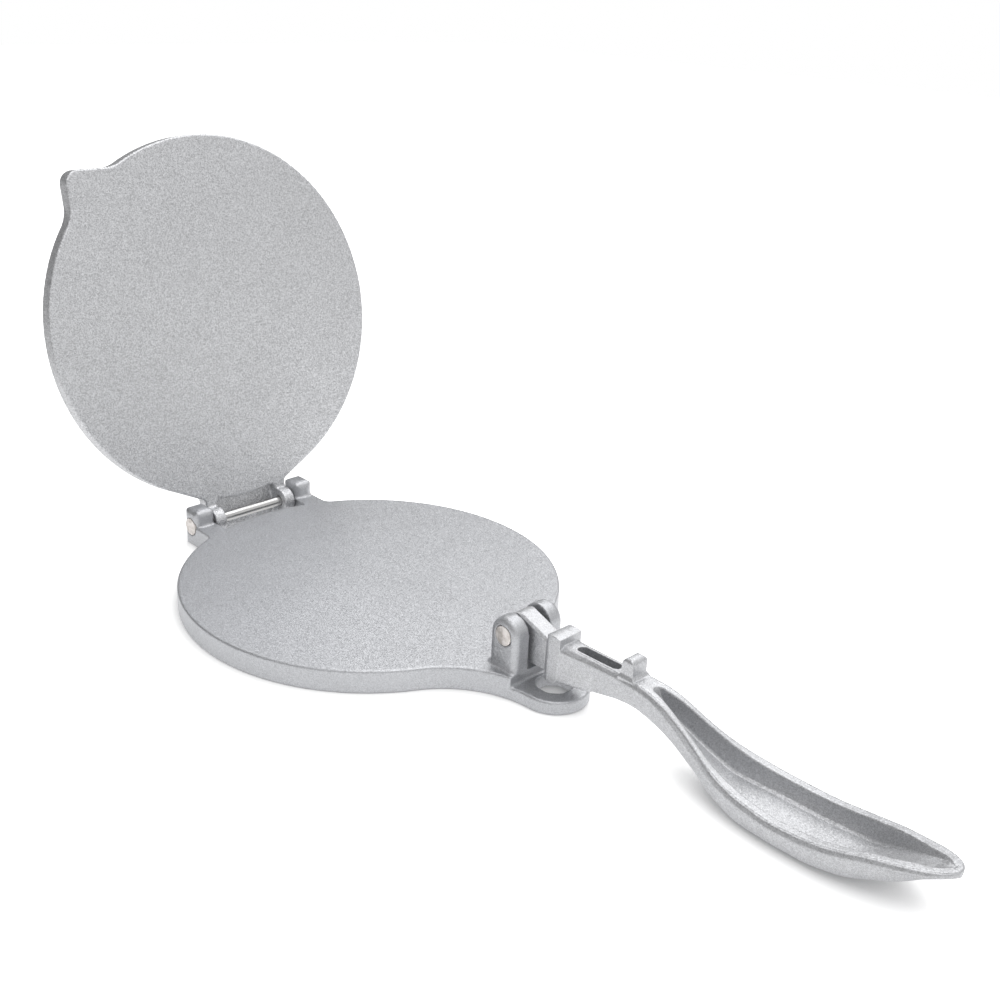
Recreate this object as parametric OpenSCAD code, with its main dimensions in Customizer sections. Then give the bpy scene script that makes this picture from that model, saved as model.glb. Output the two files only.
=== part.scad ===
// Cast tortilla press: a round base and lid hinged at the rear, and a pressing lever on a front clevis.
// It stands on z = 0 with the middle of the base plate at the origin, +X runs from the hinge to the lever.
// The lid is drawn swung open and the lever laid back on the table.

/* [Plates] */
// Radius of the round base plate
plate_r = 82.5; // [81:0.5:85]
// Height of the base plate
base_h = 9.7; // [9.2:0.1:10.2]
// How far the lid stands out past the base plate
lid_overhang = 0.9; // [0.6:0.1:1.2]
// Thickness of the lid
lid_t = 6.9; // [6.2:0.1:7.5]
// Gap between the two plates when closed
face_gap = 0.3; // [0.1:0.1:1]
// Rounding of the base's cast edges
base_edge = 0.8; // [0.4:0.1:1.2]
// Rounding of the lid's cast edges
lid_edge = 0.6; // [0.3:0.1:1]
// Depth of the relief under the base
base_relief = 3.7; // [2:0.1:3.9]
// Depth of the relief on the lid's back
lid_relief = 3; // [2:0.1:3.4]
// Width of the rim left round both reliefs
rim_w = 5; // [4:0.5:8]
// Width of the ribs in both reliefs
rib_w = 3.2; // [2.4:0.2:5]
// Radius of the hub in the middle of both reliefs
hub_r = 14; // [10:1:20]

/* [Front lobe and clevis] */
// Distance from the plate's edge to the middle of the lobe
lobe_reach = 27.5; // [26:0.5:36]
// Radius of the lobe
lobe_r = 13.9; // [12:0.1:16]
// Height of the lobe
lobe_h = 5.5; // [4:0.1:7]
// Radius of the hanging hole
hang_r = 7; // [4:0.5:9]
// Angle at which the lobe's flanks leave the plate
flank_angle = 27; // [24:1:30]
// Distance from the plate's edge to the lever's pivot
pivot_reach = 11.4; // [11:0.1:14]
// Height of the lever's pivot above the table
pivot_z = 23.9; // [22:0.1:28]
// Radius of the clevis ears about the pivot
ear_r = 7.2; // [6.6:0.1:8]
// Gap between the clevis ears
ear_gap = 12; // [11:0.5:14]
// Thickness of one clevis ear
ear_t = 7; // [5.5:0.1:8]
// Rounding of the outer edges of the ears
ear_round = 2.5; // [1:0.1:2.6]
// Radius of the coves at the feet of the ears and lugs
foot_cove = 1.5; // [1:0.1:2]

/* [Rear hinge] */
// Distance from the plate's edge to the hinge axis
hinge_reach = 9.45; // [9:0.1:13]
// Height of the hinge axis above the table
hinge_z = 8.83; // [8.5:0.01:9.2]
// Gap between the two base lugs
lug_gap = 45.8; // [42:0.2:52]
// Width of one base lug along the axis
lug_w = 10.4; // [9:0.1:14]
// Length of a base lug from front to rear
lug_l = 11.2; // [11:0.1:11.6]
// Height of a base lug above the table
lug_h = 17.5; // [16.5:0.1:17.8]
// Rounding of the lug edges
lug_round = 3.4; // [2.8:0.1:3.5]
// Concave corner where the lugs leave the plate
lug_corner = 4; // [2:0.5:6]
// Clearance between a lug and the lid's arm
arm_gap = 0.6; // [0.3:0.1:1]
// Width of one lid arm along the axis
arm_w = 5.7; // [5:0.1:7]
// Radius of the lid's knuckles
knuckle_r = 5.8; // [5.2:0.1:6]
// Angle by which the lid swings open
open_angle = 100.9; // [0:0.1:101]

/* [Lid details] */
// Distance of the thumb tab's front side from the middle
tab_x = 72; // [68:0.5:78]
// Distance of the thumb tab's outer side from the middle
tab_y = 64.6; // [60:0.2:70]
// Rounding of the thumb tab's corner
tab_round = 6; // [3:0.5:7]
// Concave corner where the thumb tab leaves the round edge
tab_sweep = 16; // [8:1:18]
// Angle from the front at which the shoulders leave the round edge
shoulder_angle = 153; // [151:1:154]
// Radius where a shoulder turns into its arm
shoulder_round = 3; // [2:0.1:3.2]
// Depth from the lid's face to the web between the arms
web_depth = 4.7; // [4.6:0.1:5.2]
// Height of the web's back above the lid's face
web_top = 7; // [6.8:0.1:7.4]
// Reach of the web behind the hinge axis
web_reach = 7.3; // [6:0.1:7.4]
// Width of the bar across the lid's back that the lever presses on
press_bar_w = 14; // [12:1:20]

/* [Pins] */
// Diameter of both pins
pin_d = 4.8; // [4:0.1:5.2]
// Radial clearance of the pins in the base
pin_fit = 0.05; // [0.02:0.01:0.1]
// Radial clearance of the moving castings on the pins
running_fit = 0.07; // [0.03:0.01:0.1]
// Diameter of the pin heads
head_d = 7.9; // [7:0.1:9]
// Depth of the recess round each head
head_sink = 1.6; // [1:0.1:2]
// Clearance round and under each head
head_clear = 0.15; // [0.1:0.05:0.3]
// Height of the dome on each head
head_dome = 0.4; // [0.2:0.1:0.8]

/* [Lever] */
// Length of the lever from its pivot to its tip
lever_len = 180; // [160:1:220]
// Radius of the lever's knuckle
lever_knuckle_r = 6.5; // [6:0.1:7]
// Clearance between the lever's tongue and each ear
tongue_gap = 1.7; // [0.5:0.1:2]
// Width of the slot in the neck
slot_w = 4.2; // [2:0.1:4.6]
// Bevel along the top of the tongue
tongue_bevel = 1; // [0.5:0.1:1.5]
// Height of the thumb-side pressing pad above the table
pad_top = 29.6; // [28:0.1:31]
// Height of the pressing lug above the table
press_lug_top = 33.9; // [32:0.1:34.4]

/* [Hidden] */
$fn = 96;

cast_grey = [0.72, 0.73, 0.75];
lever_grey = [0.66, 0.67, 0.70];
steel = [0.82, 0.81, 0.79];

over = 1; // how far cutters run past what they cut
seam = 0.02; // step left where two tangent walls meet, so that they join cleanly
rib_count = 8;

// Places worked out from the driving sizes
pin_r = pin_d / 2;
lid_r = plate_r + lid_overhang;
head_r = head_d / 2;
sink_r = head_r + head_clear;
hinge_x = -(plate_r + hinge_reach);
pivot_x = plate_r + pivot_reach;
lobe_x = plate_r + lobe_reach;
step_x = pivot_x + ear_r - 0.1;
ear_in = ear_gap / 2;
ear_out = ear_in + ear_t;
lug_in = lug_gap / 2;
lug_out = lug_in + lug_w;
lug_front = hinge_x + lug_l / 2;
arm_out = lug_in - arm_gap;
arm_in = arm_out - arm_w;
face_z = base_h + face_gap - hinge_z; // lid face above the hinge axis when closed
tongue_half = ear_in - tongue_gap;
press_lug_half = ear_in - 2;

// The flanks of the lobe are arcs that touch both the plate and the lobe
flank_s = (lobe_x ^ 2 - (plate_r - lobe_r) ^ 2) / (2 * (lobe_x * cos(flank_angle) - (plate_r - lobe_r)));
flank_r = flank_s - plate_r;
flank_c = flank_s * [cos(flank_angle), sin(flank_angle)];

// ---- shared shapes ----

// Half section of a round plate with rounded rims, for rotate_extrude or a straight edge
module rim_section(r, h, top, foot) {
    translate([0, foot]) square([r, h - top - foot]);
    translate([0, foot]) square([r - top, h - foot]);
    square([r - foot, h - top]);
    translate([r - top, h - top]) circle(top);
    translate([r - foot, foot]) circle(foot);
}

module rounded_disc(r, h, top, foot) rotate_extrude($fn = 180) intersection() {
    square([r, h]);
    rim_section(r, h, top, foot);
}

// Straight plate edge of length l whose rounded rim lies at distance r
module rounded_edge(r, l, h, top, foot)
    rotate([90, 0, 0]) translate([0, 0, -l]) linear_extrude(l) rim_section(r, h, top, foot);

// Round cutter that leaves a concave wall with rounded rims
module concave_cutter(r, h, top, foot) {
    translate([0, 0, -over]) cylinder(r = r, h = h + 2 * over, $fn = 128);
    rotate_extrude($fn = 128) difference() {
        translate([r - over, h - top]) square([over + top, top + over]);
        translate([r + top, h - top]) circle(top);
    }
    if (foot > 0) rotate_extrude($fn = 128) difference() {
        translate([r - over, -over]) square([over + foot, foot + over]);
        translate([r + foot, foot]) circle(foot);
    }
}

// Section of a concave cove that fills a corner at the origin
module cove_section(r) difference() {
    translate([-over, -over]) square(r + over);
    translate([r, r]) circle(r);
}

module mirrored_y() {
    children();
    mirror([0, 1, 0]) children();
}

// Rounded rectangle from a to b with corner radius r
module rounded_rect(a, b, r) {
    translate([a[0] + r, a[1]]) square([b[0] - a[0] - 2 * r, b[1] - a[1]]);
    translate([a[0], a[1] + r]) square([b[0] - a[0], b[1] - a[1] - 2 * r]);
    for (x = [a[0] + r, b[0] - r], y = [a[1] + r, b[1] - r]) translate([x, y]) circle(r);
}

// Turns a drawing in x and z into a wall between two y values
module side_wall(y0, y1) translate([0, y1, 0]) rotate([90, 0, 0]) linear_extrude(y1 - y0) children();

module y_bore(x, z, r, y0, y1)
    translate([x, y0, z]) rotate([-90, 0, 0]) cylinder(r = r, h = y1 - y0, $fn = 64);

// ---- base casting ----

// Prism over a plan, with the two concave flanks and their rounded edges cut from it
module flanked(h, plan) difference() {
    linear_extrude(h) polygon(plan);
    mirrored_y() translate(flank_c) concave_cutter(flank_r + seam, h, base_edge, 0.4);
}

// Plate, flanks and lobe meet face to face on the planes through the centres of their arcs
module base_plate() {
    middle = [lobe_x, 0];
    mirror_c = [flank_c[0], -flank_c[1]];
    step = step_x * [1, tan(flank_angle)];
    difference() {
        rounded_disc(plate_r, base_h, base_edge, 0.4);
        translate([0, 0, -over]) linear_extrude(base_h + 2 * over) polygon([[0, 0], [step[0], -step[1]], step]);
    }
    flanked(base_h, [[0, 0], [step[0], -step[1]], step]);
    flanked(lobe_h, [step, [step[0], -step[1]], mirror_c, middle, flank_c]);
    difference() {
        translate(middle) rounded_disc(lobe_r, lobe_h, base_edge, 0.4);
        translate([0, 0, -over]) linear_extrude(lobe_h + 2 * over)
            polygon([middle, flank_c, [0, flank_c[1]], [0, mirror_c[1]], mirror_c]);
    }
}

module ear_plan(w) {
    translate([-w, ear_in]) square([2 * w, ear_t - ear_round]);
    translate([ear_round - w, ear_in]) square([2 * (w - ear_round), ear_t]);
    for (s = [-1, 1]) translate([s * (w - ear_round), ear_out - ear_round]) circle(ear_round);
}

// One clevis ear: a rounded post with a round top about the pivot
module ear() {
    post = base_h - foot_cove;
    translate([pivot_x, 0, post]) linear_extrude(pivot_z - post) ear_plan(ear_r);
    translate([pivot_x, 0, pivot_z]) rotate([-90, 0, 0]) rotate_extrude($fn = 96) intersection() {
        translate([0, ear_in]) square([ear_r, ear_t]);
        ear_plan(ear_r);
    }
    intersection() {
        translate([pivot_x, 0, base_h]) {
            translate([0, ear_out, 0]) rotate([90, 0, 90]) translate([0, 0, -ear_r + ear_round])
                linear_extrude(2 * (ear_r - ear_round)) cove_section(foot_cove);
            translate([-ear_r, ear_in, 0]) mirror([1, 0, 0]) rotate([90, 0, 0])
                translate([0, 0, ear_round - ear_t]) linear_extrude(ear_t - ear_round) cove_section(foot_cove);
            for (s = [-1, 1]) translate([s * (ear_r - ear_round), ear_out - ear_round, 0])
                rotate_extrude($fn = 64) intersection() {
                    translate([ear_round, 0]) cove_section(foot_cove);
                    translate([0, -over]) square([ear_round + 3, 3 * over]);
                }
        }
        translate([0, ear_in, 0]) cube([step_x, 3 * ear_t, pivot_z]);
    }
}

// One rear lug, rounded on every side that shows, with the plate carried out to it
module lug() {
    x0 = hinge_x - lug_l / 2;
    x1 = lug_front;
    intersection() {
        side_wall(lug_in, lug_out) rounded_rect([x0, -lug_round], [x1, lug_h], lug_round);
        linear_extrude(lug_h) rounded_rect([x0, lug_in], [x1, lug_out], lug_round);
        translate([x0 - over, 0, 0]) rotate([90, 0, 90]) linear_extrude(lug_l + 2 * over)
            rounded_rect([lug_in, -lug_round], [lug_out, lug_h], lug_round);
        translate([x0, lug_in, 0]) cube([lug_l, lug_w, lug_h]);
    }
    corner_y = lug_out + lug_corner;
    corner_x = -sqrt((plate_r + lug_corner) ^ 2 - corner_y ^ 2);
    corner = plate_r / (plate_r + lug_corner) * [corner_x, corner_y];
    difference() {
        union() {
            translate([hinge_x, lug_in, 0]) cube([-hinge_x - plate_r * 0.8, lug_w - lug_round, base_h]);
            translate([hinge_x, 0, 0]) rotate([0, 0, 90]) mirror([0, 1, 0])
                rounded_edge(lug_out, -hinge_x - plate_r * 0.8, base_h, base_edge, 0.4);
            linear_extrude(base_h) polygon([
                [corner_x, lug_out - over], [corner_x, lug_out], corner, corner * 0.95
            ]);
        }
        translate([corner_x, corner_y, 0]) concave_cutter(lug_corner, base_h, base_edge, 0.4);
        translate([hinge_x - over, -lug_out, -over]) cube([2 * lug_out, lug_out + lug_in, base_h + 2 * over]);
    }
    translate([lug_front, lug_out - lug_round, base_h]) rotate([90, 0, 0])
        linear_extrude(lug_w - 2 * lug_round) cove_section(foot_cove);
}

// Ring-shaped relief between the hub and the rim, crossed by ribs and, if wanted, by a wide bar
module relief(depth, rib_sink, bar_w) difference() {
    rotate_extrude($fn = 180) {
        square([plate_r - rim_w - 1.5, depth]);
        translate([0, -over]) square([plate_r - rim_w, depth - 1.5 + over]);
        translate([plate_r - rim_w - 1.5, depth - 1.5]) circle(1.5);
    }
    translate([0, 0, -2 * over]) cylinder(r = hub_r, h = depth + 4 * over);
    for (i = [0:rib_count - 1]) rotate([0, 0, (i + 0.5) * 360 / rib_count])
        translate([0, -rib_w / 2, rib_sink]) cube([plate_r, rib_w, depth + over]);
    if (bar_w > 0) translate([-plate_r, -bar_w / 2, -2 * over]) cube([2 * plate_r, bar_w, depth + 4 * over]);
}

module base() color(cast_grey) difference() {
    union() {
        base_plate();
        mirrored_y() {
            ear();
            lug();
        }
    }
    relief(base_relief, 0.6, 0);
    translate([lobe_x, 0, -over]) cylinder(r = hang_r, h = lobe_h + 2 * over);
    y_bore(pivot_x, pivot_z, pin_r + pin_fit, -ear_out - over, ear_out + over);
    y_bore(hinge_x, hinge_z, pin_r + pin_fit, -lug_out - over, lug_out + over);
    mirrored_y() {
        y_bore(pivot_x, pivot_z, sink_r, ear_out - head_sink, ear_out + over);
        y_bore(hinge_x, hinge_z, sink_r, lug_out - head_sink, lug_out + over);
    }
}

// ---- lid casting, drawn closed about the hinge axis with z = 0 on its inner face ----

module thumb_tab() {
    translate([0, tab_round - tab_y, 0]) rounded_edge(tab_x, tab_y / 2, lid_t, lid_edge, lid_edge);
    translate([tab_x / 2, 0, 0]) rotate([0, 0, -90])
        rounded_edge(tab_y, tab_x / 2 - tab_round, lid_t, lid_edge, lid_edge);
    translate([tab_x - tab_round, tab_round - tab_y, 0]) rounded_disc(tab_round, lid_t, lid_edge, lid_edge);
    reach = lid_r + tab_sweep;
    side = tab_y + tab_sweep;
    front = tab_x + tab_sweep;
    tab_corner([sqrt(reach ^ 2 - side ^ 2), -side], [0, 1]);
    tab_corner([front, -sqrt(reach ^ 2 - front ^ 2)], [-1, 0]);
}

// Concave corner about the point c between the round edge and a straight side lying towards s
module tab_corner(c, s) {
    foot = c * (lid_r - seam) / norm(c);
    straight = c + (tab_sweep + seam) * s;
    difference() {
        linear_extrude(lid_t) polygon([foot, foot * 0.93, foot * 0.93 + 4 * s, straight + 4 * s, straight]);
        translate(c) concave_cutter(tab_sweep + 2 * seam, lid_t, lid_edge, lid_edge);
    }
}

// Centre of the round corner between a shoulder and its arm, and the foot of the straight edge there
shoulder_n = [cos(shoulder_angle), sin(shoulder_angle)];
turn_y = arm_out + shoulder_round;
turn_x = (lid_r + shoulder_round - shoulder_n[1] * turn_y) / shoulder_n[0];
shoulder_foot = [turn_x, turn_y] - shoulder_round * shoulder_n;
shoulder_run = norm(shoulder_foot - lid_r * shoulder_n);

// Straight edge that leaves the round one, then the concave corner that leads into the arm
module shoulder() {
    start = 1;
    rotate([0, 0, shoulder_angle]) translate([0, start, seam / 2])
        rounded_edge(lid_r - 1.5 * seam, shoulder_run - start, lid_t - seam, lid_edge, lid_edge);
    difference() {
        linear_extrude(lid_t) polygon([
            shoulder_foot - 2 * seam * shoulder_n, shoulder_foot - 6 * shoulder_n, [turn_x + 12, arm_in - over],
            [turn_x, arm_in - over], [turn_x, arm_out]
        ]);
        translate([turn_x, turn_y, 0]) concave_cutter(shoulder_round + 2 * seam, lid_t, lid_edge, lid_edge);
    }
}

// Section of an arm about the hinge axis
module arm_section() {
    top = face_z + web_top;
    circle(knuckle_r);
    polygon([
        [0, face_z], [0, knuckle_r], [-web_reach, face_z + web_depth], [-web_reach, top - 1],
        [1 - web_reach, top], [knuckle_r, top], [knuckle_r + 2, face_z + lid_t],
        [hinge_reach + 8, face_z + lid_t], [hinge_reach + 8, face_z]
    ]);
    polygon([[-knuckle_r, 0], [0, 0], [0, knuckle_r], [-web_reach, face_z + web_depth]]);
}

module web_section() {
    top = face_z + web_top;
    polygon([
        [-web_reach, face_z + web_depth], [-web_reach, top - 1], [1 - web_reach, top], [knuckle_r, top],
        [knuckle_r + 2, face_z + lid_t], [hinge_reach + 4, face_z + lid_t], [hinge_reach + 4, face_z + web_depth]
    ]);
}

module lid_closed() difference() {
    union() {
        rotate([0, 0, 180]) rounded_disc(lid_r, lid_t, lid_edge, lid_edge);
        thumb_tab();
        intersection() {
            cylinder(r = plate_r + 1.8, h = lid_t, $fn = 180);
            translate([-plate_r - 3, -arm_out, 0]) cube([plate_r, 2 * arm_out, lid_t]);
        }
        mirrored_y() {
            shoulder();
            translate([hinge_x, 0, -face_z]) side_wall(arm_in, arm_out) arm_section();
        }
        translate([hinge_x, 0, -face_z]) side_wall(-arm_in - over, arm_in + over) web_section();
    }
    translate([0, 0, lid_t]) mirror([0, 0, 1]) intersection() {
        relief(lid_relief, 0.6, press_bar_w);
        translate([-plate_r + 12, -plate_r, -over]) cube([2 * plate_r, 2 * plate_r, lid_t]);
    }
    y_bore(hinge_x, -face_z, pin_r + running_fit, -arm_out - over, arm_out + over);
}

module lid() color(cast_grey)
    translate([hinge_x, 0, hinge_z]) rotate([0, -open_angle, 0]) translate([-hinge_x, 0, face_z]) lid_closed();

// ---- pins ----

// Pin along y with a sunk, slightly domed head at each end, for walls whose outer faces are at +-out
module pin(out) {
    dome_r = (head_r ^ 2 + head_dome ^ 2) / (2 * head_dome);
    seat = out - head_sink + head_clear;
    y_bore(0, 0, pin_r, -seat, seat);
    mirrored_y() translate([0, seat, 0]) rotate([-90, 0, 0]) rotate_extrude($fn = 96) intersection() {
        square([head_r, 3 * head_sink]);
        translate([0, out - seat + head_dome - dome_r]) circle(dome_r, $fn = 256);
    }
}

module hinge_pin() color(steel) translate([hinge_x, 0, hinge_z]) pin(lug_out);

module handle_pin() color(steel) translate([pivot_x, 0, pivot_z]) pin(ear_out);

// ---- lever casting ----

// Section curves along the lever: [distance from the pivot, value], for a lever 180 long
knot_len = 180;
// Height of the rim, or of the neck's top
rim_z = [
    [16, 26.1], [56, 26.5], [64, 25.9], [72, 23.9], [80, 20.4], [88, 16.7], [96, 13.4], [104, 11.4],
    [112, 10.3], [124, 9.7], [132, 10.1], [140, 11.1], [148, 12.7], [156, 14.6], [164, 16], [172, 17.4], [180, 18.6]
];
// Half-width at the rim's outer crease
rim_w_at = [
    [16, 3.2], [46, 3.2], [56, 3.9], [64, 4.8], [72, 5.6], [80, 6.6], [88, 8.2], [96, 10.5], [104, 12.2],
    [112, 13.2], [124, 14], [132, 13.9], [140, 13.7], [148, 12.7], [156, 11.3], [168, 8.7], [172, 7.9], [180, 7.3]
];
// Lowest height of the outside
keel_z = [
    [14, 9.3], [24, 9.6], [30, 11.3], [42, 14], [50, 15.6], [56, 16], [60, 15.5], [72, 12.5], [84, 7.5],
    [96, 3], [102, 1.5], [109, 0], [136, 0], [144, 1.5], [150, 3], [156, 5.5], [162, 8], [174, 14.5], [180, 15.9]
];
// Half-width of the flat underside
keel_w = [[14, 3], [60, 3.2], [84, 4.5], [96, 6.5], [104, 8.5], [114, 10], [132, 10], [144, 8.5], [168, 3.5], [180, 2]];
// How far the band under the rim stands out from the crease
band_out = [[14, 2.8], [30, 2.2], [36, 1.8], [54, 1.7], [64, 1.3], [140, 1.3], [168, 1], [180, 0.8]];
// Height of the band under the rim
band_h = [[14, 2.5], [54, 2.6], [66, 3.2], [74, 4.5], [84, 5.4], [96, 4.5], [104, 3.5], [150, 3], [180, 2]];
// How far the side is set back below the band
band_step = [[14, 1.2], [36, 0.8], [84, 0.8], [101, 0.05], [150, 0.05], [160, 0.3], [180, 0.5]];
// Half-width of the grip's hollow
hollow_w = [
    [65, 2], [72, 3.2], [80, 4.5], [88, 6], [96, 7.5], [104, 8.7], [112, 9.7], [124, 10.4], [136, 10.3],
    [144, 9.8], [152, 8.7], [160, 7.1], [168, 4.8], [172, 3.9], [175, 2.6], [177.2, 0.6]
];
// Height of the hollow's floor
floor_z = [
    [63, 25.5], [65, 21.9], [68, 18.4], [72, 16.2], [78, 13.2], [84, 10], [90, 7.2], [96, 4.9], [102, 4.3],
    [110, 4], [124, 3.7], [130, 3.9], [136, 4.7], [142, 5.7], [148, 7.2], [156, 10], [164, 13], [172, 16], [177, 18]
];
hollow_from = 63;
hollow_to = 177.6;
tip_from = 168; // the rounded end starts here

// Slope of a section curve at knot i: never overshoots its neighbours
function secant(k, i) = (k[i + 1][1] - k[i][1]) / (k[i + 1][0] - k[i][0]);
function slope(k, i) =
    i == 0 || i == len(k) - 1 ? 0
    : secant(k, i - 1) * secant(k, i) <= 0 ? 0
    : 2 * secant(k, i - 1) * secant(k, i) / (secant(k, i - 1) + secant(k, i));
function span(k, u, i = 0) = i >= len(k) - 2 || u < k[i + 1][0] ? i : span(k, u, i + 1);
function hermite(t, a, b, ma, mb) =
    a * (2 * t ^ 3 - 3 * t ^ 2 + 1) + ma * (t ^ 3 - 2 * t ^ 2 + t) + b * (3 * t ^ 2 - 2 * t ^ 3) + mb * (t ^ 3 - t ^ 2);
function curve_in(k, u, i) =
    let (w = k[i + 1][0] - k[i][0], t = (u - k[i][0]) / w)
    hermite(t, k[i][1], k[i + 1][1], slope(k, i) * w, slope(k, i + 1) * w);
function curve(k, u) =
    u <= k[0][0] ? k[0][1]
    : u >= k[len(k) - 1][0] ? k[len(k) - 1][1]
    : curve_in(k, u, span(k, u));

// Share of the width left in the rounded end
function tip_share(u) = u <= tip_from ? 1 : sqrt(max(0.004, 1 - ((u - tip_from) / (knot_len - tip_from)) ^ 2));

// Share of the hollow's width left in its rounded front end
function nose_share(u) =
    u <= hollow_from || u >= hollow_to ? 0
    : u >= hollow_from + 2 ? 1
    : sqrt(1 - ((hollow_from + 2 - u) / 2) ^ 2);

// Right half of a section as [y, z], from the bottom round to the top's middle
function half_section(u) =
    let (
        share = tip_share(u),
        z_rim = curve(rim_z, u),
        z_keel = curve(keel_z, u),
        w_rim = curve(rim_w_at, u) * share,
        w_keel = curve(keel_w, u) * share,
        w_out = w_rim + curve(band_out, u) * share,
        h_band = min(curve(band_h, u), (z_rim - z_keel) * 0.7),
        z_low = z_rim - h_band,
        w_low = w_out - curve(band_step, u) * share,
        in_hollow = nose_share(u) > 0,
        z_floor = in_hollow ? min(curve(floor_z, u), z_rim) : z_rim,
        depth = z_rim - z_floor,
        w_mouth = in_hollow ? curve(hollow_w, u) * nose_share(u) : w_rim * 0.5,
        lip = min(0.5, depth / 3)
    )
    [
        [w_keel * 0.5, z_keel],
        for (a = [0:18:90]) [w_keel + (w_low - w_keel) * sin(a), z_keel + (z_low - z_keel) * (1 - cos(a))],
        [w_out, z_low + 0.15 * h_band],
        [w_out - 0.12 * (w_out - w_rim), z_low + 0.45 * h_band],
        [w_rim + 0.45 * (w_out - w_rim), z_low + 0.78 * h_band],
        [w_rim, z_rim],
        [w_mouth + min(0.5, (w_rim - w_mouth) / 2), z_rim],
        [w_mouth + 0.1 * lip, z_rim - lip],
        [w_mouth * 0.93, z_rim - depth * 0.6],
        [w_mouth * 0.84, z_floor + depth * 0.1],
        [w_mouth * 0.72, z_floor],
        [w_mouth * 0.36, z_floor]
    ];

// Whole ring at distance u: right half, top middle, left half, bottom middle
function ring(u) =
    let (h = half_section(u), n = len(h), top = h[n - 1][1], low = h[0][1])
    let (flat = concat(h, [[0, top]], [for (i = [n - 1:-1:0]) [-h[i][0], h[i][1]]], [[0, low]]))
    [for (p = flat) [pivot_x + u * lever_len / knot_len, p[0], p[1]]];

stations = concat(
    [for (u = [18:6:54]) u],
    [58, 61, 62.9, 63.1, 63.5, 64.1, 65, 66.5],
    [for (u = [69:3:165]) u],
    [167, 169, 171, 172.6, 174, 175.2, 176.2, 177.1, 177.5, 177.9, 178.5, 179, 179.4, 179.7, 179.95]
);

// Point inside a section from which its whole outline is seen
function ring_eye(u) =
    [pivot_x + u * lever_len / knot_len, 0, curve(rim_z, u) - 0.9 * min(curve(band_h, u), 2.5)];

// Grip and neck skinned over the rings
module lever_skin(stations = stations) {
    rings = [for (u = stations) ring(u)];
    n = len(rings[0]);
    m = len(rings);
    points = concat([for (r = rings) for (p = r) p], [ring_eye(stations[0]), ring_eye(stations[m - 1])]);
    polyhedron(
        points = points,
        faces = concat(
            [for (j = [0:n - 1]) [n * m, j, (j + 1) % n]],
            [for (i = [0:m - 2]) for (j = [0:n - 1]) [i * n + j, (i + 1) * n + j, (i + 1) * n + (j + 1) % n]],
            [for (i = [0:m - 2]) for (j = [0:n - 1]) [i * n + j, (i + 1) * n + (j + 1) % n, i * n + (j + 1) % n]],
            [for (j = [0:n - 1]) [n * m + 1, (m - 1) * n + (j + 1) % n, (m - 1) * n + j]]
        )
    );
}

// Knuckle and tongue between the ears, with the top's edges bevelled
module tongue() {
    b = tongue_bevel;
    r = lever_knuckle_r;
    w = tongue_half;
    top_a = 20;
    top_start = (r - seam) * [sin(top_a), cos(top_a)];
    top_end = top_start + 16 * [cos(top_a), -sin(top_a)];
    translate([pivot_x, 0, pivot_z]) difference() {
        side_wall(-w, w) union() {
            circle(r);
            polygon([
                [0, 0], top_start, top_end, [top_end[0], 12.2 - pivot_z], [6, 12.2 - pivot_z],
                [4.1, 12.9 - pivot_z], [-3.9, -5.1]
            ]);
        }
        mirrored_y() translate([0, w, 0]) rotate([0, top_a, 0]) translate([-6, 0, r - seam]) rotate([90, 0, 90])
            linear_extrude(30) polygon([[-b - over, over], [over, over], [over, -b - over]]);
    }
}

// The block behind the tongue with the pad and the lug that press on the lid
module neck_blocks() {
    half = ear_in;
    translate([pivot_x, 0, 0]) intersection() {
        translate([0, 0, 9]) linear_extrude(30) rounded_rect([14.4, -half], [28, half], 3);
        side_wall(-half, half) union() {
            rounded_rect([14.4, 9.3], [22, 26], 2.8);
            polygon([[16, 11], [21, 9.8], [21, 26], [15, 26]]);
            intersection() {
                translate([16, 20]) square([6.6, 14]);
                translate([19.3, pad_top - 9]) circle(9);
            }
        }
    }
    translate([pivot_x, 0, 0]) {
        intersection() {
            side_wall(-press_lug_half, press_lug_half) rounded_rect([50.3, 20], [55.6, press_lug_top], 2.3);
            rotate([90, 0, 90]) linear_extrude(80)
                rounded_rect([-press_lug_half, 18], [press_lug_half, press_lug_top], 1.6);
        }
        intersection() {
            side_wall(-press_lug_half - 1, press_lug_half + 1)
                polygon([[49.3, 24], [49.3, 26.3], [50.3, 27.7], [55.6, 27.7], [56.8, 26.3], [56.8, 24]]);
            rotate([90, 0, 90]) linear_extrude(80) polygon([
                [-press_lug_half - 0.8, 24], [-press_lug_half - 0.8, 26.3], [-press_lug_half, 27.7],
                [press_lug_half, 27.7], [press_lug_half + 0.8, 26.3], [press_lug_half + 0.8, 24]
            ]);
        }
    }
}

module neck_slot() translate([pivot_x, 0, 18]) linear_extrude(20)
    rounded_rect([27, -slot_w / 2], [47, slot_w / 2], slot_w / 2 - 0.01);

module handle() color(lever_grey) difference() {
    union() {
        lever_skin();
        tongue();
        neck_blocks();
    }
    neck_slot();
    y_bore(pivot_x, pivot_z, pin_r + running_fit, -tongue_half - over, tongue_half + over);
}

base();
lid();
handle();
hinge_pin();
handle_pin();
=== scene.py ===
# %% [markdown]
# # A cast-aluminium tortilla press
# Two round plates are hinged together, and a lever on the base swings over and squeezes them shut.
# The construction is already fixed: five solids with their joints. This lesson gives them the look
# of real sand castings: soft corners, a sparkling silver coat, and two bright steel pins. Blender
# works in metres. Sizes on the press are named in millimetres and multiplied by MM, and those of the
# table and the light around it are in metres.

# %% Load the fixed frame
import math
import bpy
from mathutils import Matrix, Vector


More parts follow.
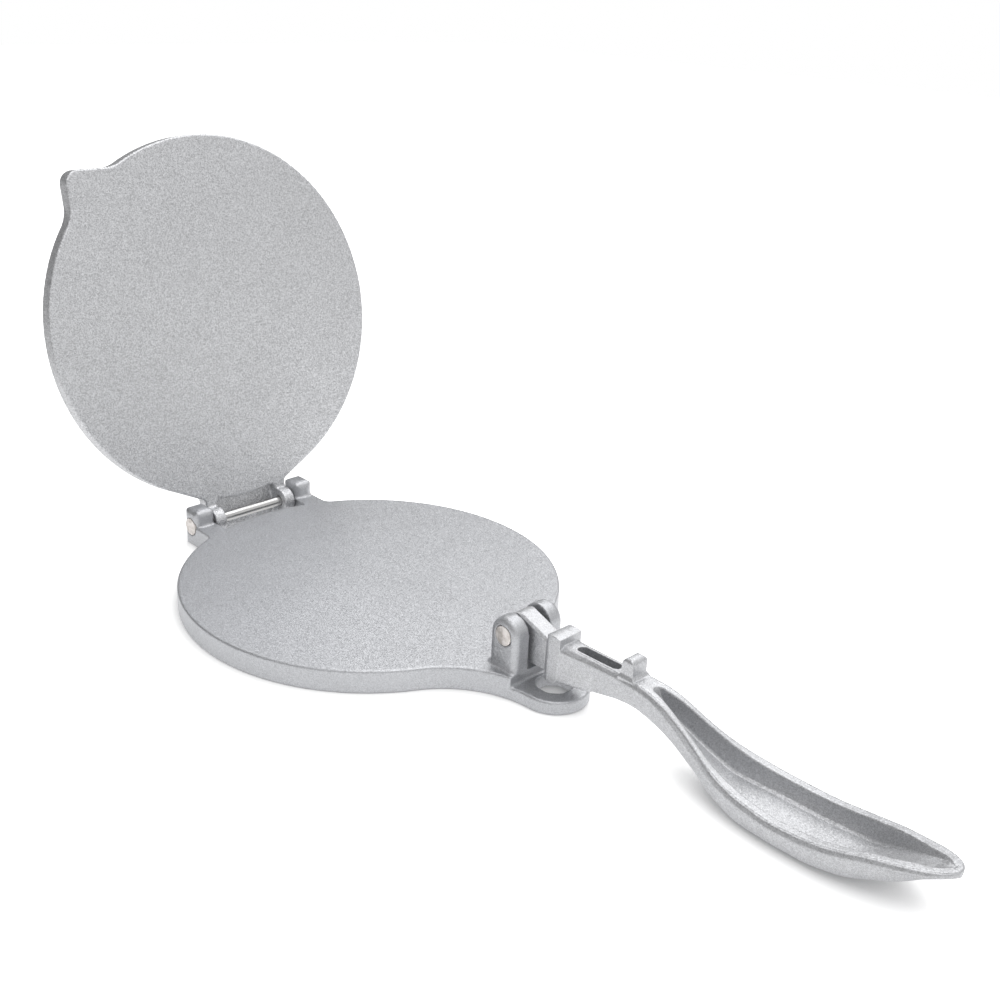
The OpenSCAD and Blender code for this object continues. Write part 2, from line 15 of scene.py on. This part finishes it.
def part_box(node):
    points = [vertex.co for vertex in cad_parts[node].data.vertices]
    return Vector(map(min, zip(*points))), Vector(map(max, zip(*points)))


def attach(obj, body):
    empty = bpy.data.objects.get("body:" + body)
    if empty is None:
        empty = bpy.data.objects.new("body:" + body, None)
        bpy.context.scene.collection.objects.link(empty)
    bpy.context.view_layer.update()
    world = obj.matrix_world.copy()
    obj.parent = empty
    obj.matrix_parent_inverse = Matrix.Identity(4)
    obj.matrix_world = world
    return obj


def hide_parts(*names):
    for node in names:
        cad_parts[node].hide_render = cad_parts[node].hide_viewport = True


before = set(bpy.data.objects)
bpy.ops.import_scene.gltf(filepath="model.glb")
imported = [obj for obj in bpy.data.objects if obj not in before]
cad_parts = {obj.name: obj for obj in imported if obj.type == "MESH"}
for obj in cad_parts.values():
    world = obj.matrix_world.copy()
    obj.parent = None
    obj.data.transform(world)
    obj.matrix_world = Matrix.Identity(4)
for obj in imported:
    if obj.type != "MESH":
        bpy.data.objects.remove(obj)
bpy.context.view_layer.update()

MM = 0.001
print("nodes", sorted(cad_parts))

# %% [markdown]
# ## The camera
# The camera stands about half a metre away, beyond the lever's tip and above the table, and it is
# rolled by three degrees. Its lens of 45 mm on a 36 mm sensor is a common one for small products. It
# could be turned by hand until the view looks right. A camera looks along its own -Z with +Y up,
# though, so its turn is worked out here from the line between its place and its aim, which is exact.
# The view transform is Standard, which shows every colour as it is written.

# %% Place the camera
CAMERA_PLACE = Vector((379.6, -313.4, 256.9)) * MM
CAMERA_AIM = Vector((76.0, 0.0, 70.4)) * MM
CAMERA_ROLL = math.radians(3.0)
LENS = 45.0


def add_camera():
    bpy.ops.object.camera_add(location=CAMERA_PLACE)
    camera = bpy.context.object
    camera.name = "Camera"
    look = (CAMERA_AIM - CAMERA_PLACE).to_track_quat("-Z", "Y")
    camera.rotation_euler = (look.to_matrix() @ Matrix.Rotation(CAMERA_ROLL, 3, "Z")).to_euler()
    camera.data.sensor_width = 36.0
    camera.data.lens = LENS
    camera.data.clip_start = 0.01
    bpy.context.scene.camera = camera


add_camera()
bpy.context.scene.view_settings.view_transform = "Standard"
print("camera to aim in mm", round((CAMERA_PLACE - CAMERA_AIM).length / MM, 1))

# %% [markdown]
# ## Node helpers
# A material is a small machine of nodes. They could be wired by hand in the shader editor, but a few
# short helpers keep the cells below readable: one starts a material, one adds a node with its
# settings, two fill its sockets, three do sums, vector sums and colour ramps, and one joins the
# finished shader to the output.

# %% Helpers for node materials


def new_material(name):
    material = bpy.data.materials.new(name)
    material.use_nodes = True
    tree = material.node_tree
    tree.nodes.clear()
    return material, tree


def add_node(tree, kind, **settings):
    node = tree.nodes.new(kind)
    for key, value in settings.items():
        setattr(node, key, value)
    return node


def feed(tree, value, socket):
    """Sets a socket to a number or colour, or links another node's output to it."""
    if isinstance(value, bpy.types.NodeSocket):
        tree.links.new(value, socket)
    else:
        socket.default_value = value


def set_sockets(node, **values):
    """Sets a node's own sockets by name, with _ for each space."""
    for name, value in values.items():
        node.inputs[name.replace("_", " ")].default_value = value


def calc(tree, operation, a, b=0.0):
    node = add_node(tree, "ShaderNodeMath", operation=operation)
    feed(tree, a, node.inputs[0])
    feed(tree, b, node.inputs[1])
    return node.outputs[0]


def vector_calc(tree, operation, a, b=(0.0, 0.0, 0.0)):
    node = add_node(tree, "ShaderNodeVectorMath", operation=operation)
    feed(tree, a, node.inputs[0])
    feed(tree, b, node.inputs[1])
    return node.outputs[0]


def two_tone(tree, factor, low, high):
    """A colour that runs from one (position, colour) to another as the factor grows."""
    node = add_node(tree, "ShaderNodeValToRGB")
    for element, (position, colour) in zip(node.color_ramp.elements, (low, high)):
        element.position = position
        element.color = (*colour, 1.0)
    feed(tree, factor, node.inputs[0])
    return node.outputs[0]


def surface_output(tree, shader, kind="ShaderNodeOutputMaterial"):
    tree.links.new(shader.outputs[0], add_node(tree, kind).inputs["Surface"])


print("node helpers are ready")

# %% [markdown]
# ## The table
# The press stands on a plain white sweep. The floor is a very pale matt surface, and for the camera
# and for mirror-like rays it glows a little on top, so that it reads as white paper. A brighter lamp
# would do that too, but it would burn out the press. The glow fades where something stands close by,
# which an ambient occlusion node finds, so the contact shadows stay. What the metal mirrors of the
# floor fades with the distance from the press, as a lit table does in a dark room.

# %% Floor
FLOOR_SIDE = 6.0
FLOOR_TOP = -0.0002
PAPER = (0.80, 0.80, 0.80, 1)
PAPER_GLOW = 0.86
SHADOW_REACH = 0.016
SHADOW_DEPTH = 1.5
POOL_FROM, POOL_TO, POOL_GLOW = 0.16, 0.50, 0.50


def floor_material():
    material, tree = new_material("white_sweep")
    path = add_node(tree, "ShaderNodeLightPath")
    place = add_node(tree, "ShaderNodeTexCoord").outputs["Object"]
    reach = add_node(tree, "ShaderNodeVectorMath", operation="LENGTH")
    feed(tree, place, reach.inputs[0])
    pool = add_node(tree, "ShaderNodeMapRange", interpolation_type="SMOOTHSTEP")
    feed(tree, reach.outputs["Value"], pool.inputs["Value"])
    set_sockets(pool, From_Min=POOL_FROM, From_Max=POOL_TO, To_Min=POOL_GLOW, To_Max=0.0)
    mirrored = calc(tree, "MULTIPLY", path.outputs["Is Glossy Ray"], pool.outputs["Result"])

    nearby = add_node(tree, "ShaderNodeAmbientOcclusion", samples=8)
    set_sockets(nearby, Distance=SHADOW_REACH)
    open_share = calc(tree, "POWER", nearby.outputs["AO"], SHADOW_DEPTH)
    seen = calc(tree, "MULTIPLY", path.outputs["Is Camera Ray"], PAPER_GLOW)
    straight = calc(tree, "MULTIPLY", seen, open_share)

    paper = add_node(tree, "ShaderNodeBsdfDiffuse")
    set_sockets(paper, Color=PAPER)
    glow = add_node(tree, "ShaderNodeEmission")
    feed(tree, calc(tree, "MAXIMUM", straight, mirrored), glow.inputs["Strength"])
    both = add_node(tree, "ShaderNodeAddShader")
    tree.links.new(paper.outputs[0], both.inputs[0])
    tree.links.new(glow.outputs[0], both.inputs[1])
    surface_output(tree, both)
    return material


bpy.ops.object.select_all(action="DESELECT")
bpy.ops.mesh.primitive_plane_add(size=FLOOR_SIDE, location=(0, 0, FLOOR_TOP))
floor = bpy.context.object
floor.name = "floor"
bpy.ops.object.transform_apply(location=True, rotation=True, scale=True)
floor.data.materials.append(floor_material())
print("floor is", FLOOR_SIDE, "m wide")

# %% [markdown]
# ## The light
# A small studio is a white room and a few softboxes. The room is the world here, and it lights from
# all round. One even grey would make the castings look flat, so it is graded: dim low behind the
# hinge, bright high over the lever. Two large soft lamps, one overhead and one behind, add the broad
# highlights on the crowns of the castings. A single strong lamp would be quicker to place, but it
# would burn out the coat, so all of the light stays at a plain level.

# %% World and lamps
BRIGHT_WAY = (0.60, 0.12, 0.79)
GRADE_FROM, GRADE_TO = -0.3, 0.9
ROOM_DIM, ROOM_BRIGHT = 0.26, 0.82
LAMP_WATTS = 5.0


def add_world():
    """Soft light that grows from dim, low behind the hinge, to bright, high over the lever."""
    world = bpy.data.worlds.new("studio")
    bpy.context.scene.world = world
    world.use_nodes = True
    tree = world.node_tree
    tree.nodes.clear()
    way = add_node(tree, "ShaderNodeTexCoord").outputs["Generated"]
    side = add_node(tree, "ShaderNodeVectorMath", operation="DOT_PRODUCT")
    feed(tree, way, side.inputs[0])
    side.inputs[1].default_value = BRIGHT_WAY
    grade = add_node(tree, "ShaderNodeMapRange", interpolation_type="SMOOTHSTEP")
    feed(tree, side.outputs["Value"], grade.inputs["Value"])
    set_sockets(grade, From_Min=GRADE_FROM, From_Max=GRADE_TO, To_Min=ROOM_DIM, To_Max=ROOM_BRIGHT)
    path = add_node(tree, "ShaderNodeLightPath")
    sky = add_node(tree, "ShaderNodeBackground")
    set_sockets(sky, Color=(1, 1, 1, 1))
    strength = calc(tree, "MAXIMUM", path.outputs["Is Camera Ray"], grade.outputs["Result"])
    feed(tree, strength, sky.inputs["Strength"])
    surface_output(tree, sky, "ShaderNodeOutputWorld")


def add_softbox(name, place, aim, size):
    bpy.ops.object.light_add(type="AREA", location=place)
    lamp = bpy.context.object
    lamp.name = name
    lamp.rotation_euler = (Vector(aim) - Vector(place)).to_track_quat("-Z", "Y").to_euler()
    lamp.data.shape = "RECTANGLE"
    lamp.data.size, lamp.data.size_y = size
    lamp.data.energy = LAMP_WATTS


add_world()
add_softbox("overhead", place=(0.30, 0.10, 1.15), aim=(0.05, 0, 0.05), size=(1.3, 1.1))
add_softbox("back", place=(-0.38, 0.78, 1.0), aim=(0.05, 0, 0.03), size=(1.1, 0.9))

# %% [markdown]
# ## From a crisp solid to a sand casting
# The solids have true edges, sharp as a knife at many corners. Molten aluminium never fills a sand
# mould that sharply, and a thick coat rounds it further. A bevel modifier would need clean edge loops,
# so a remesh is the better tool here: a copy of the solid is rebuilt from small voxels, which forgets
# the knife edges, and a short smoothing pass rounds what is left by well under a millimetre. The
# voxels leave far more faces than the form needs, so a decimate modifier keeps only a share of them.

# %% Soften a casting
MERGE_WITHIN = 0.004


def only_select(*pieces):
    """Deselects everything, then selects these pieces, with the last one active."""
    bpy.ops.object.select_all(action="DESELECT")
    for piece in pieces:
        piece.select_set(True)
        bpy.context.view_layer.objects.active = piece


def copy_of(node_name, piece_name):
    """A merged copy of a solid, as a piece of its own."""
    piece = bpy.data.objects.new(piece_name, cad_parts[node_name].data.copy())
    piece.data.name = piece_name
    bpy.context.scene.collection.objects.link(piece)
    only_select(piece)
    bpy.ops.object.mode_set(mode="EDIT")
    bpy.ops.mesh.select_all(action="SELECT")
    bpy.ops.mesh.remove_doubles(threshold=MERGE_WITHIN * MM)
    bpy.ops.object.mode_set(mode="OBJECT")
    if piece.data.has_custom_normals:
        bpy.ops.mesh.customdata_custom_splitnormals_clear()
    return piece


def apply_modifier(piece, kind, **settings):
    bpy.context.view_layer.objects.active = piece
    modifier = piece.modifiers.new(kind.lower(), kind)
    for key, value in settings.items():
        setattr(modifier, key, value)
    bpy.ops.object.modifier_apply(modifier=modifier.name)


def soften(piece, voxel, passes, keep):
    """Rebuilds a piece from voxels, smooths it in a few passes and keeps a share of its faces."""
    apply_modifier(piece, "REMESH", mode="VOXEL", voxel_size=voxel * MM, use_smooth_shade=True)
    apply_modifier(piece, "SMOOTH", factor=0.5, iterations=passes)
    apply_modifier(piece, "DECIMATE", decimate_type="COLLAPSE", ratio=keep)
    bpy.ops.object.shade_smooth()
    piece.data.calc_loop_triangles()
    print(piece.name, len(piece.data.loop_triangles), "triangles")


print("corners within", MERGE_WITHIN, "mm of each other are merged")

# %% [markdown]
# ## The base and the lid
# Both are broad, plain plates with sturdy edges. Smaller voxels would follow the edges more closely,
# but a fifth of a millimetre already makes over a million faces of each plate. Half a millimetre is
# fine enough here: the edges come out softly rolled, and just under a third of the faces are kept.

# %% Soften the base and the lid
base_casting = copy_of("base", "base_casting")
soften(base_casting, voxel=0.5, passes=3, keep=0.3)

lid_casting = copy_of("lid", "lid_casting")
soften(lid_casting, voxel=0.5, passes=3, keep=0.3)

# %% [markdown]
# ## The seam along the lever's rim
# On the lever a fine seam parts the flat lip of the rim from its rounded outside, where the two halves
# of the mould met. A dark line in the material would look the same from one side only, so it is cut.
# A thin round cord follows the rim, and a boolean modifier takes it away from the casting. All places
# on the lever are given from its pivot, which is the middle of its pin: the distance along it, then
# y, then the height, in mm.

# %% Cut the rim's seam
pin_low, pin_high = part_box("handle_pin")
PIVOT_X = round((pin_low.x + pin_high.x) / 2 / MM, 1)
NECK_SEAM = [(23.5, 3.3, 26.2), (36, 3.3, 26.3), (47.5, 3.4, 26.4)]
GRIP_SEAM = [
    (59, 4.2, 26.4), (64, 4.8, 25.9), (72, 5.6, 23.9), (80, 6.6, 20.4), (88, 8.2, 16.7),
    (96, 10.5, 13.4), (104, 12.2, 11.4), (112, 13.2, 10.3), (124, 14.0, 9.7), (132, 13.9, 10.1),
    (140, 13.7, 11.1), (148, 12.7, 12.7), (156, 11.3, 14.6), (164, 9.6, 16.0), (168, 8.7, 16.7),
    (172, 7.45, 17.4), (176, 5.67, 18.0), (178, 4.1, 18.3), (179.3, 2.45, 18.5),
]
SEAM_END = (180, 0, 18.6)
SEAM_RADIUS = 0.34


def on_side(side, points):
    return [(reach, side * y, z) for reach, y, z in points]


def seam_cord(points, name):
    """A thin closed tube through points along the lever."""
    bpy.ops.object.select_all(action="DESELECT")
    bpy.ops.curve.primitive_bezier_curve_add(location=(0, 0, 0))
    cord = bpy.context.object
    cord.name = name
    spline = cord.data.splines[0]
    spline.bezier_points.add(len(points) - len(spline.bezier_points))
    for knot, (reach, y, z) in zip(spline.bezier_points, points):
        knot.co = Vector((PIVOT_X + reach, y, z)) * MM
        knot.handle_left_type = knot.handle_right_type = "AUTO"
    cord.data.resolution_u = 6
    cord.data.bevel_depth = SEAM_RADIUS * MM
    cord.data.bevel_resolution = 1
    cord.data.use_fill_caps = True
    bpy.ops.object.convert(target="MESH")
    return cord


def cut_away(piece, cutter):
    apply_modifier(piece, "BOOLEAN", operation="DIFFERENCE", solver="EXACT", object=cutter)
    bpy.data.objects.remove(cutter)


lever_casting = copy_of("handle", "lever_casting")
for side in (-1, 1):
    cut_away(lever_casting, seam_cord(on_side(side, NECK_SEAM), "neck_seam"))
round_the_tip = on_side(-1, GRIP_SEAM) + [SEAM_END] + on_side(1, GRIP_SEAM)[::-1]
cut_away(lever_casting, seam_cord(round_the_tip, "grip_seam"))
print("the lever's pivot is at x =", PIVOT_X, "mm")
print("the seam passes", len(round_the_tip), "points round the grip")

# %% [markdown]
# ## The neck beside its slot
# Behind the thumb pad the neck starts as wide as the block that carries the pad, and narrows evenly
# from there. The fixed solid steps in at once, so a tapering filler closes the step. It could be
# sculpted, but a cube whose rear end is drawn in is exact. Its edges are bevelled, the neck's slot is
# cut through it again, and the remesh that follows melts it into the casting.

# %% Fill the neck and soften the lever
FILLER_FRONT, FILLER_REAR = 18.5, 38.0
FRONT_LOW, FRONT_HIGH, FRONT_HALF = 9.5, 25.5, 6.15
REAR_LOW, REAR_HIGH, REAR_HALF = 12.9, 25.0, 4.65
FILLER_BEVEL = 1.7
SLOT_FRONT, SLOT_REAR, SLOT_RADIUS = 27.0, 47.0, 2.1
SLOT_FLOOR, SLOT_TOP = 18.0, 40.0
A_HAIR = 0.01


def slot_cutter():
    """The long slot of the neck: a round post whose rear half is pulled back along the lever."""
    middle = (SLOT_FLOOR + SLOT_TOP) / 2
    start = Vector((PIVOT_X + SLOT_FRONT + SLOT_RADIUS, 0, middle)) * MM
    bpy.ops.object.select_all(action="DESELECT")
    bpy.ops.mesh.primitive_cylinder_add(
        vertices=32, radius=SLOT_RADIUS * MM, depth=(SLOT_TOP - SLOT_FLOOR) * MM, location=start)
    post = bpy.context.object
    bpy.ops.object.transform_apply(location=True, rotation=True, scale=True)
    for corner in post.data.vertices:
        if corner.co.x > start.x + A_HAIR * MM:
            corner.co.x += (SLOT_REAR - SLOT_FRONT - 2 * SLOT_RADIUS) * MM
    return post


def neck_filler():
    """The neck's side walls from the block back to where the neck has its own width."""
    along = (FILLER_FRONT + FILLER_REAR) / 2
    middle = Vector((PIVOT_X + along, 0, (FRONT_LOW + FRONT_HIGH) / 2)) * MM
    bpy.ops.object.select_all(action="DESELECT")
    bpy.ops.mesh.primitive_cube_add(size=1, location=middle)
    filler = bpy.context.object
    filler.name = "neck_filler"
    size = Vector((FILLER_REAR - FILLER_FRONT, 2 * FRONT_HALF, FRONT_HIGH - FRONT_LOW))
    filler.scale = size * MM
    bpy.ops.object.transform_apply(location=True, rotation=True, scale=True)
    for corner in filler.data.vertices:
        if corner.co.x > middle.x:
            corner.co.y *= REAR_HALF / FRONT_HALF
            corner.co.z = (REAR_LOW if corner.co.z < middle.z else REAR_HIGH) * MM
    apply_modifier(filler, "BEVEL", width=FILLER_BEVEL * MM, segments=4, limit_method="ANGLE")
    cut_away(filler, slot_cutter())
    return filler


only_select(neck_filler(), lever_casting)
bpy.ops.object.join()
soften(lever_casting, voxel=0.2, passes=4, keep=0.255)

# %% [markdown]
# ## The deep end of the grip
# Near its tip the grip is a little deeper than the fixed solid: its floor and its underside hang lower,
# while the rim stays where it is. Proportional editing does this by hand. In code the same soft
# fall-off is a product of three smooth steps: one fades towards the rim, one towards both ends of the
# stretch, and one towards the table, so that nothing sinks below it.

# %% Deepen the grip near its tip
TIP_DROP = 1.3
DROP_FROM, DROP_FULL, DROP_END, DROP_FADE = 128, 26, 183, 7
RIM_KEPT, SOFT_BAND = 1.5, 4.0


def smooth(t):
    t = min(max(t, 0.0), 1.0)
    return t * t * (3 - 2 * t)


def rim_height(reach):
    """Height of the grip's rim at a distance from the pivot, in mm."""
    for (u0, _, z0), (u1, _, z1) in zip(GRIP_SEAM, GRIP_SEAM[1:]):
        if reach <= u1:
            return z0 + (z1 - z0) * (reach - u0) / (u1 - u0)
    return GRIP_SEAM[-1][2]


def deepen_tip(piece):
    """Lowers the floor and the underside of the grip near its tip, and keeps its rim."""
    moved = 0
    for corner in piece.data.vertices:
        reach, height = corner.co.x / MM - PIVOT_X, corner.co.z / MM
        if reach >= DROP_FROM:
            below = smooth((rim_height(reach) - RIM_KEPT - height) / SOFT_BAND)
            along = smooth((reach - DROP_FROM) / DROP_FULL) * smooth((DROP_END - reach) / DROP_FADE)
            room = smooth(height / SOFT_BAND)
            corner.co.z -= TIP_DROP * MM * below * along * room
            moved += 1
    print(moved, "corners lie on the deeper end")


deepen_tip(lever_casting)

# %% [markdown]
# ## The silver coat
# The castings wear a silver coat full of tiny metal flakes. Close to, each flake is a speck about a
# third of a millimetre wide that lies at its own slant, so some flash and some look dark. Voronoi
# cells are a good stand-in for flakes: every cell gets one random colour, which here sets both its
# shade and its slant. A slower noise underneath gives the cloudy unevenness of a hand-sprayed coat.
# The base and the lever are rubbed down, so their speckle is finer and calmer than the lid's.

# %% Coat material
CLOUD_SCALE, CLOUD_DETAIL, CLOUD_SHARE = 28.0, 4.0, 0.10


def coat_material(name, grey, flake, slant, contrast, rough):
    material, tree = new_material(name)
    place = add_node(tree, "ShaderNodeTexCoord").outputs["Object"]
    flakes = add_node(tree, "ShaderNodeTexVoronoi", voronoi_dimensions="3D")
    feed(tree, place, flakes.inputs["Vector"])
    set_sockets(flakes, Scale=1.0 / (flake * MM))
    random_colour = flakes.outputs["Color"]
    clouds = add_node(tree, "ShaderNodeTexNoise", noise_dimensions="3D")
    feed(tree, place, clouds.inputs["Vector"])
    set_sockets(clouds, Scale=CLOUD_SCALE, Detail=CLOUD_DETAIL)

    split = add_node(tree, "ShaderNodeSeparateColor")
    feed(tree, random_colour, split.inputs[0])
    uneven = calc(tree, "SUBTRACT", split.outputs[0], 0.5)
    cloudy = calc(tree, "SUBTRACT", clouds.outputs["Fac"], 0.5)
    speck = calc(tree, "MULTIPLY", uneven, contrast)
    cloud = calc(tree, "MULTIPLY", cloudy, CLOUD_SHARE)
    shade = calc(tree, "ADD", calc(tree, "ADD", speck, cloud), 1.0)
    tint = vector_calc(tree, "SCALE", grey)
    feed(tree, shade, tint.node.inputs["Scale"])

    lean = vector_calc(tree, "SUBTRACT", random_colour, (0.5, 0.5, 0.5))
    leaning = vector_calc(tree, "SCALE", lean)
    set_sockets(leaning.node, Scale=slant)
    face = add_node(tree, "ShaderNodeNewGeometry").outputs["Normal"]
    normal = vector_calc(tree, "NORMALIZE", vector_calc(tree, "ADD", face, leaning))

    shader = add_node(tree, "ShaderNodeBsdfPrincipled")
    feed(tree, tint, shader.inputs["Base Color"])
    feed(tree, normal, shader.inputs["Normal"])
    set_sockets(shader, Metallic=0.85, Roughness=rough)
    surface_output(tree, shader)
    return material


base_coat = coat_material(
    "base_coat", (0.50, 0.507, 0.525), flake=0.28, slant=0.24, contrast=0.32, rough=0.44)
lid_coat = coat_material(
    "lid_coat", (0.60, 0.605, 0.62), flake=0.38, slant=0.44, contrast=0.62, rough=0.42)
lever_coat = coat_material(
    "lever_coat", (0.56, 0.565, 0.58), flake=0.30, slant=0.20, contrast=0.38, rough=0.46)
print("coats", base_coat.name, lid_coat.name, lever_coat.name)

# %% [markdown]
# ## The steel pins
# The pins are bare steel rod. Drawing the rod leaves faint streaks along it, so the noise behind them
# is stretched along the pin. The heads are hammered over, which leaves them duller and mottled. Their
# light, warm tone is partly that hammered metal and partly a painted highlight. Two materials could
# share the work, but the pin is one smooth solid, so one material does both: a mask on the distance
# from the middle tells head from rod.

# %% Pin material
STREAK_STRETCH = (1.0, 0.03, 1.0)
ROD_DARK, ROD_LIGHT = (0.3, (0.46, 0.455, 0.45)), (0.7, (0.66, 0.655, 0.65))
# The heads' light, warm tones are partly a painted highlight, not only the colour of hammered steel.
HEAD_DARK, HEAD_LIGHT = (0.36, (0.60, 0.56, 0.52)), (0.60, (0.93, 0.88, 0.85))
ROD_METAL, METAL_LOST = 0.95, 0.45
ROD_ROUGH, ROUGH_GAINED = 0.20, 0.20


def steel_material(name, head_from):
    material, tree = new_material(name)
    place = add_node(tree, "ShaderNodeTexCoord").outputs["Object"]
    parts = add_node(tree, "ShaderNodeSeparateXYZ")
    feed(tree, place, parts.inputs[0])
    outwards = calc(tree, "ABSOLUTE", parts.outputs["Y"])
    head = calc(tree, "GREATER_THAN", outwards, head_from * MM)

    streaks = add_node(tree, "ShaderNodeTexNoise", noise_dimensions="3D")
    stretched = vector_calc(tree, "MULTIPLY", place, STREAK_STRETCH)
    feed(tree, stretched, streaks.inputs["Vector"])
    set_sockets(streaks, Scale=2600.0, Detail=2.0)
    mottle = add_node(tree, "ShaderNodeTexNoise", noise_dimensions="3D")
    feed(tree, place, mottle.inputs["Vector"])
    set_sockets(mottle, Scale=420.0, Detail=6.0)

    tone = add_node(tree, "ShaderNodeMix", data_type="RGBA")
    feed(tree, head, tone.inputs["Factor"])
    feed(tree, two_tone(tree, streaks.outputs["Fac"], ROD_DARK, ROD_LIGHT), tone.inputs[6])
    feed(tree, two_tone(tree, mottle.outputs["Fac"], HEAD_DARK, HEAD_LIGHT), tone.inputs[7])

    bump = add_node(tree, "ShaderNodeBump")
    set_sockets(bump, Strength=0.35, Distance=0.05 * MM)
    feed(tree, mottle.outputs["Fac"], bump.inputs["Height"])
    lost = calc(tree, "MULTIPLY", head, METAL_LOST)
    gained = calc(tree, "MULTIPLY", head, ROUGH_GAINED)
    shader = add_node(tree, "ShaderNodeBsdfPrincipled")
    feed(tree, tone.outputs[2], shader.inputs["Base Color"])
    feed(tree, calc(tree, "SUBTRACT", ROD_METAL, lost), shader.inputs["Metallic"])
    feed(tree, calc(tree, "ADD", gained, ROD_ROUGH), shader.inputs["Roughness"])
    feed(tree, bump.outputs[0], shader.inputs["Normal"])
    surface_output(tree, shader)
    return material


pin_steel = {"hinge_pin": steel_material("hinge_pin_steel", head_from=31.5),
             "handle_pin": steel_material("handle_pin_steel", head_from=11.2)}
print("pins", sorted(pin_steel))

# %% [markdown]
# ## Finishes and bodies
# Each softened casting stands for its solid and rides on the same body, so that it turns with the
# joint. The pins keep their own solids, which are true as they are, and only get their steel.

# %% Give every piece its finish and its body


def stand_for(piece, node, body, material):
    piece.data.materials.clear()
    piece.data.materials.append(material)
    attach(piece, body)
    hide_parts(node)


stand_for(base_casting, "base", "base", base_coat)
stand_for(lid_casting, "lid", "lid", lid_coat)
stand_for(lever_casting, "handle", "handle", lever_coat)
for node_name, steel in pin_steel.items():
    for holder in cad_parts[node_name].material_slots:
        holder.material = steel
